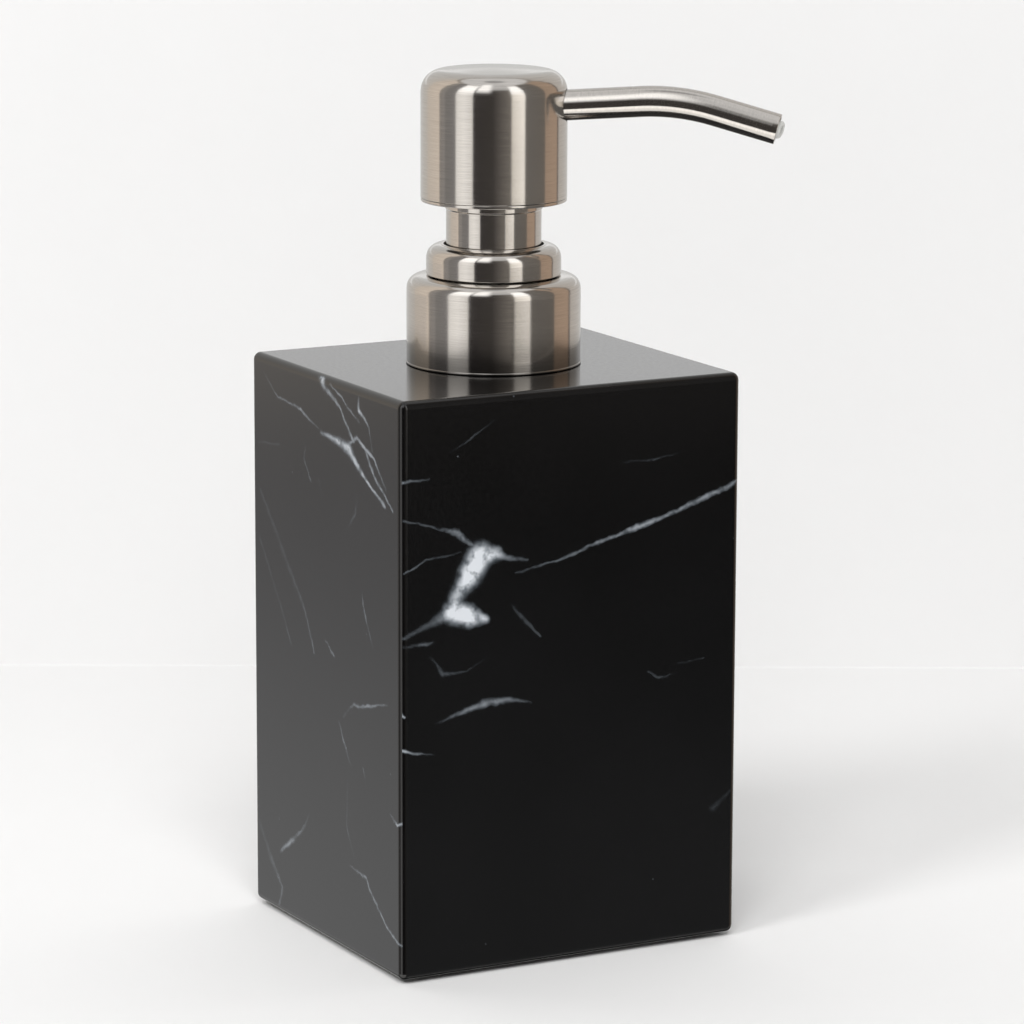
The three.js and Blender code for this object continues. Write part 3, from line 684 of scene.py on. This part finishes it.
THREAD = {
    "pitch": 4.23 * MM,
    "turns": 1.25,
    "start": 2.6 * MM,
    "depth": 0.7 * MM,
    "half_base": 1.1 * MM,
    "half_tip": 0.5 * MM,
    "sunk": 0.3 * MM,
}


def thread_ridge(root, pointing):
    """A wedge swept up a helix, fading in and out, that points out (+1) or in (-1)."""
    bm = bmesh.new()
    layer = bm.loops.layers.uv.new("turned")
    steps = round(THREAD["turns"] * ROUND)
    sections = []
    for i in range(steps + 1):
        share = i / steps
        angle = 2 * math.pi * THREAD["turns"] * share
        height = DECK + THREAD["start"] + THREAD["pitch"] * THREAD["turns"] * share
        fading = min(1.0, 12 * min(share, 1 - share) + 0.02)
        depth, half_tip, half_base = (THREAD[key] * fading for key in ("depth", "half_tip", "half_base"))
        foot = -THREAD["sunk"]
        wedge = ((foot, -half_base), (depth, -half_tip), (depth, half_tip), (foot, half_base))
        outward = Vector((math.cos(angle), math.sin(angle), 0))
        sections.append([bm.verts.new(outward * (root + pointing * out) + Vector((0, 0, height + up)))
                         for out, up in wedge])
    for i, (lower, upper) in enumerate(zip(sections, sections[1:])):
        for j in range(4):
            face = bm.faces.new((lower[j], lower[(j + 1) % 4], upper[(j + 1) % 4], upper[j]))
            for loop, (row, column) in zip(face.loops, ((i, j), (i, j + 1), (i + 1, j + 1), (i + 1, j))):
                loop[layer].uv = (row / ROUND, column * MM)
    bm.faces.new(sections[0])
    bm.faces.new(sections[-1][::-1])
    return as_object("ridge", bm)


def threaded(node, corners, root, pointing):
    """A turned piece with a thread ridge joined on. Corners and root are in millimetres."""
    piece = as_object(node + "_fine", turned_mesh(softened(above_deck(*corners)), 96))
    carve(piece, thread_ridge(root * MM, pointing), "UNION")
    dress(piece, node)


def make_threads():
    """The bottle's neck and the closure's liner, which screw together."""
    threaded("neck_insert", [(11, -14.8), (18, -14.8), (18, -12.2), (13.2, -12.2), (13.2, 0), (12.6, 0),
                             (12.6, 10), (11, 10)], 12.6, 1)
    threaded("collar_liner", [(14, 1), (16.5, 1), (16.5, 14.7), (14.5, 16.7), (11.4, 16.7), (11.4, 13),
                              (14, 13)], 14.1, -1)


# ---------- pump ----------

DIP_TUBE = {"outer": 2.95 * MM, "bevel": math.radians(40)}


def make_dip_tube():
    """The straw, with its foot cut at a slant."""
    low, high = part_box("dip_tube")
    outer, bore = DIP_TUBE["outer"], 2 * MM
    path = [Vector((bore, low.z)), Vector((outer, low.z)), Vector((outer, high.z)), Vector((bore, high.z))]
    bm = turned_mesh(path, 64)
    for vertex in bm.verts:
        if vertex.co.z < low.z + MM / 100:
            vertex.co.z += (outer - vertex.co.x) * math.tan(DIP_TUBE["bevel"])
    dress(as_object("dip_tube_fine", bm), "dip_tube")


SPRING = {
    "radius": 5.2 * MM,
    "wire": 0.5 * MM,
    "turns": 6,
    "bottom": -29.4 * MM,
    "top": -4.6 * MM,
    "steps": 48,
    "facets": 12,
}


def make_spring():
    """The coil under the piston, built at one length and given a mesh of its own."""
    bm = bmesh.new()
    rings = []
    steps = SPRING["turns"] * SPRING["steps"]
    for i in range(steps + 1):
        angle = 2 * math.pi * i / SPRING["steps"]
        outward = Vector((math.cos(angle), math.sin(angle), 0))
        height = DECK + SPRING["bottom"] + (SPRING["top"] - SPRING["bottom"]) * i / steps
        centre = outward * SPRING["radius"] + Vector((0, 0, height))
        ring = []
        for k in range(SPRING["facets"]):
            turn = 2 * math.pi * k / SPRING["facets"]
            ring.append(bm.verts.new(centre + SPRING["wire"] * (math.cos(turn) * outward
                                                                + math.sin(turn) * Vector((0, 0, 1)))))
        rings.append(ring)
    for lower, upper in zip(rings, rings[1:]):
        for k, (first, second) in enumerate(zip(lower, lower[1:] + lower[:1])):
            bm.faces.new((first, second, upper[(k + 1) % len(upper)], upper[k]))
    bm.faces.new(rings[0])
    bm.faces.new(rings[-1][::-1])
    spring = dress(as_object("return_spring_fine", bm), "return_spring")
    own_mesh(spring)


# ---------- head ----------


def make_head_shell():
    """The domed shell with the hole that the spout comes out of."""
    path = softened(meridian("head_shell", SPOUT["azimuth"]))
    shell = as_object("head_shell_fine", turned_mesh(finer(path, 1.5 * MM)))
    carve(shell, bar_along_spout(SPOUT["outer"] + 0.15 * MM, 8 * MM, 20 * MM))
    dress(shell, "head_shell")


def make_head_core():
    """The moulded core that joins the stem's socket to the spout's."""
    corners = above_deck((0, 36.1), (4.05, 36.1), (4.05, 29), (6.3, 29), (6.3, 36.5), (13.7, 36.5),
                         (13.7, 38.5), (6.3, 38.5), (6.3, 55), (0, 55))
    core = as_object("head_core_fine", turned_mesh(softened(corners), 64))
    carve(core, bar_along_spout(4.2 * MM, 0, 12.9 * MM), "UNION")
    riser = above_deck((0, 36), (1.5, 36), (1.5, 52.3), (0, 52.3))
    carve(core, as_object("riser", turned_mesh(riser, 32)))
    carve(core, bar_along_spout(1.5 * MM, 0, 6.2 * MM))
    carve(core, bar_along_spout(SPOUT["outer"] + 0.1 * MM, 5.9 * MM, 14.5 * MM))
    dress(core, "head_core")


# ---------- assembly ----------

TURNED = ("base_plug", "base_seal", "collar_shell", "guide_ring", "neck_sleeve", "head_base_ring", "chaplet",
          "neck_gasket", "pump_housing", "pump_stem", "piston", "piston_seal", "stem_wiper", "inlet_ball",
          "outlet_ball")

make_stone()
make_foot_pad()
make_threads()
for turned_node in TURNED:
    refined(turned_node)
make_dip_tube()
make_spring()
make_head_shell()
make_head_core()
make_spout()
make_nozzle()

# ---------- stage ----------

FLOOR_SIZE = 4.0
WALL_BEHIND = 0.223      # from the pump's axis
COVE = 0.0005            # radius where the floor turns up
COVE_STEPS = 8
PAPER = (0.84, 0.836, 0.832, 1)


def make_stage():
    """A pale floor that turns up into a wall behind the object. Its back is see-through."""
    yaw = Matrix.Rotation(-CAMERA["yaw"], 4, "Z")
    half = FLOOR_SIZE / 2
    outline = [(-half, 0)]
    for i in range(COVE_STEPS + 1):
        angle = math.pi / 2 * i / COVE_STEPS
        outline.append((WALL_BEHIND - COVE + COVE * math.sin(angle), COVE - COVE * math.cos(angle)))
    outline.append((WALL_BEHIND, half))
    bm = bmesh.new()
    sides = [[bm.verts.new(yaw @ Vector((side, depth, height))) for depth, height in outline]
             for side in (-half, half)]
    for left_pair, right_pair in zip(zip(sides[0], sides[0][1:]), zip(sides[1], sides[1][1:])):
        bm.faces.new((left_pair[0], right_pair[0], right_pair[1], left_pair[1]))
    mesh = bpy.data.meshes.new("sweep")
    bm.to_mesh(mesh)
    bm.free()
    mesh.shade_smooth()
    sweep = bpy.data.objects.new("sweep", mesh)
    scene.collection.objects.link(sweep)
    material, tree, shader = new_material("sweep_paper", Roughness=0.9, Specular_IOR_Level=0.1)
    place = add_node(tree, "ShaderNodeTexCoord").outputs["Object"]
    mottle = fade(tree, noise(tree, place, 30.0, detail=4), 0.3, 0.7)
    tint = blend_colours(tree, mottle, PAPER, [c * 1.004 for c in PAPER])
    tree.links.new(tint, shader.inputs["Base Color"])
    behind = add_node(tree, "ShaderNodeNewGeometry").outputs["Backfacing"]
    clear = add_node(tree, "ShaderNodeBsdfTransparent").outputs[0]
    choice = add_node(tree, "ShaderNodeMixShader", {0: behind, 1: shader.outputs[0], 2: clear})
    tree.links.new(choice.outputs[0], tree.nodes["Material Output"].inputs["Surface"])
    mesh.materials.append(material)
    sweep.visible_glossy = False


make_stage()

# ---------- light ----------

# What the metal mirrors at eye level: softboxes and black flags that stand round the object.
# Each is (from, to, colour at its start, colour at its end), in degrees from the camera's side, positive to
# the camera's right.
RING_OF_LIGHTS = [
    (-180, -150, (0.66, 0.66, 0.65), (0.66, 0.65, 0.63)),
    (-150, -127, (0.66, 0.65, 0.63), (0.7, 0.66, 0.61)),
    (-127, -95, (0.74, 0.67, 0.59), (0.86, 0.76, 0.66)),
    (-95, -83, (0.32, 0.3, 0.28), (0.35, 0.33, 0.32)),
    (-83, -62, (0.26, 0.25, 0.24), (0.27, 0.26, 0.26)),
    (-62, -47, (1.05, 1.03, 1.0), (1.15, 1.13, 1.1)),
    (-47, -33, (1.12, 1.1, 1.08), (0.95, 0.93, 0.9)),
    (-33, -3, (0.05, 0.045, 0.045), (0.06, 0.055, 0.05)),
    (-3, 28, (0.055, 0.05, 0.048), (0.24, 0.22, 0.2)),
    (28, 50, (1.05, 1.0, 0.92), (1.5, 1.44, 1.36)),
    (50, 88, (0.2, 0.19, 0.18), (0.2, 0.18, 0.16)),
    (88, 118, (0.45, 0.34, 0.26), (0.5, 0.37, 0.28)),
    (118, 122, (0.16, 0.14, 0.13), (0.2, 0.18, 0.17)),
    (122, 180, (0.6, 0.56, 0.52), (0.66, 0.66, 0.65)),
]
LEFT_BOX = (-62, -33)
RIGHT_BOX = (28, 50)
RIGHT_CARD = (50, 88)
LEFT_CARD = (-160, -100)
BRIGHTEST = 1.8             # colours in the room are stored as a share of this
STRIP_EDGE = 0.7            # degrees over which one strip gives way to the next
FILL = 0.19                 # the even light that falls on what isn't glossy
FLOOR_TINT = (1, 0.98, 0.95)


def sine(degrees):
    return math.sin(math.radians(degrees))


def band(tree, value, low, high, edge):
    """One inside low..high and nothing outside, with soft edges."""
    return maths(tree, "MULTIPLY", fade(tree, value, low - edge, low + edge),
                 fade(tree, value, high - edge, high + edge, 1.0, 0.0))


def ring_colour(tree, direction):
    """The ring of lights, looked up by the compass direction, and that direction as an angle."""
    angle = maths(tree, "ARCTAN2", vector_maths(tree, "DOT_PRODUCT", direction, LEVEL_RIGHT),
                  vector_maths(tree, "DOT_PRODUCT", direction, CAMERA_SIDE))
    turn = maths(tree, "MULTIPLY_ADD", angle, 1 / (2 * math.pi), 0.5)
    ramp = add_node(tree, "ShaderNodeValToRGB", {"Fac": turn})
    stops = ramp.color_ramp.elements
    stops.remove(stops[0])
    ends = []
    for start, end, start_colour, end_colour in RING_OF_LIGHTS:
        ends += [(start + STRIP_EDGE / 2, start_colour), (end - STRIP_EDGE / 2, end_colour)]
    for number, (degrees, colour) in enumerate(ends):
        position = (degrees + 180) / 360
        stop = stops.new(position) if number else stops[0]
        stop.position = position
        stop.color = (*(c / BRIGHTEST for c in colour), 1)
    return ramp.outputs["Color"], angle


def mirrored_room(tree, direction):
    """What glossy rays meet. Each lit() paints over what is there already. Directions are in degrees."""
    colour, angle = ring_colour(tree, direction)
    height = add_node(tree, "ShaderNodeSeparateXYZ", {0: direction}).outputs["Z"]
    aside = maths(tree, "ABSOLUTE", angle)

    def lit(where, brightness, tint=(1, 1, 1)):
        nonlocal colour
        colour = blend_colours(tree, where, colour, (*(brightness * c / BRIGHTEST for c in tint), 1))

    def both(first, second):
        return maths(tree, "MULTIPLY", first, second)

    def above(start, full):
        return fade(tree, height, sine(start), sine(full))

    def below(full, end):
        return fade(tree, height, sine(full), sine(end), 1.0, 0.0)

    def level(low, high, edge=0.01):
        return band(tree, height, sine(low), sine(high), edge)

    def facing(sector, edge=0.01):
        return band(tree, angle, math.radians(sector[0]), math.radians(sector[1]), edge)

    def beyond(start, full):
        return fade(tree, aside, math.radians(start), math.radians(full))

    def within(full, end):
        return fade(tree, aside, math.radians(full), math.radians(end), 1.0, 0.0)

    # the softboxes are brighter towards their tops
    lit(both(maths(tree, "ADD", facing(LEFT_BOX), facing(RIGHT_BOX)), above(5, 35)), 1.7)
    # the floor, brightest where it is nearest
    lit(below(-30, -27), 1.15, FLOOR_TINT)
    lit(level(-46, -28, 0.04), 1.5, FLOOR_TINT)
    # a paler card low on the right, which the collar mirrors
    right_card = facing(RIGHT_CARD)
    lit(both(right_card, below(-9, -8)), 0.36, (1, 0.9, 0.8))
    # a flag and a card on the floor, which the sides of the block mirror
    low = below(-16.5, -10)
    below_pump = below(-10.1, -9.5)
    right_flag = maths(tree, "ADD", both(right_card, below(-9.8, -9.1)), both(facing((24, 50)), below_pump))
    lit(right_flag, 0.01)
    lit(both(right_flag, low), 0.2)
    left_card = both(facing(LEFT_CARD, 0.05), below_pump)
    lit(left_card, 0.4, (1, 0.97, 0.98))
    lit(both(left_card, low), 0.68)
    # the floor behind is in shadow, which keeps the undersides dark
    lit(both(beyond(92, 108), below(-34, -24)), 0.04)
    # the backdrop, which the top of the block mirrors
    lit(both(beyond(135, 155), level(8, 12)), 0.98)
    # the ceiling, with a dark edge to it
    lit(level(56.5, 60), 0.35, (1, 0.92, 0.84))
    lit(above(59.5, 62), 0.8)
    # the lamp in front, over the camera, brighter and lower on its left
    ahead = both(within(29, 31), below(62, 80))
    lit(both(ahead, above(30, 50)), 0.7)
    left_half = both(ahead, fade(tree, angle, math.radians(-12), 0.0, 1.0, 0.0))
    lit(both(left_half, above(14, 42)), 1.6)
    # a dark patch overhead, and the shadow underneath
    lit(above(79, 85), 0.42)
    lit(below(-82, -74), 0.05)
    return colour


def make_world():
    """A plain even light, except that glossy rays see the mirrored room."""
    world = bpy.data.worlds.new("studio")
    scene.world = world
    world.use_nodes = True
    tree = world.node_tree
    background = tree.nodes["Background"]
    direction = add_node(tree, "ShaderNodeTexCoord").outputs["Generated"]
    rays = add_node(tree, "ShaderNodeLightPath")
    plain = grey(FILL / BRIGHTEST)
    seen = blend_colours(tree, rays.outputs["Is Glossy Ray"], plain, mirrored_room(tree, direction))
    background.inputs["Strength"].default_value = BRIGHTEST
    tree.links.new(seen, background.inputs["Color"])


make_world()


LAMP_AIM = Vector((0, 0, 0.08))


def area_light(name, size, power, distance, azimuth, elevation):
    """A soft square lamp: azimuth in degrees from the camera's side, positive to its right."""
    data = bpy.data.lights.new(name, "AREA")
    data.size = size
    data.energy = power
    lamp = bpy.data.objects.new(name, data)
    scene.collection.objects.link(lamp)
    turn = math.radians(azimuth)
    up = math.radians(elevation)
    flat = CAMERA_SIDE * math.cos(turn) + LEVEL_RIGHT * math.sin(turn)
    offset = flat * math.cos(up) + Vector((0, 0, math.sin(up)))
    lamp.location = LAMP_AIM + offset * distance
    lamp.rotation_mode = "QUATERNION"
    lamp.rotation_quaternion = (-offset).to_track_quat("-Z", "Y")
    lamp.visible_glossy = False


area_light("key", size=0.7, power=21.5, distance=2.6, azimuth=-43, elevation=39)
area_light("front", size=1.4, power=38.5, distance=2.4, azimuth=0, elevation=46)

# ---------- materials on the CAD nodes that stay ----------

for node_name, node_object in frame["nodes"].items():
    if not node_object.hide_render:
        node_object.data.materials.clear()
        node_object.data.materials.append(materials[node_slot[node_name]])

scene.view_settings.view_transform = "Standard"
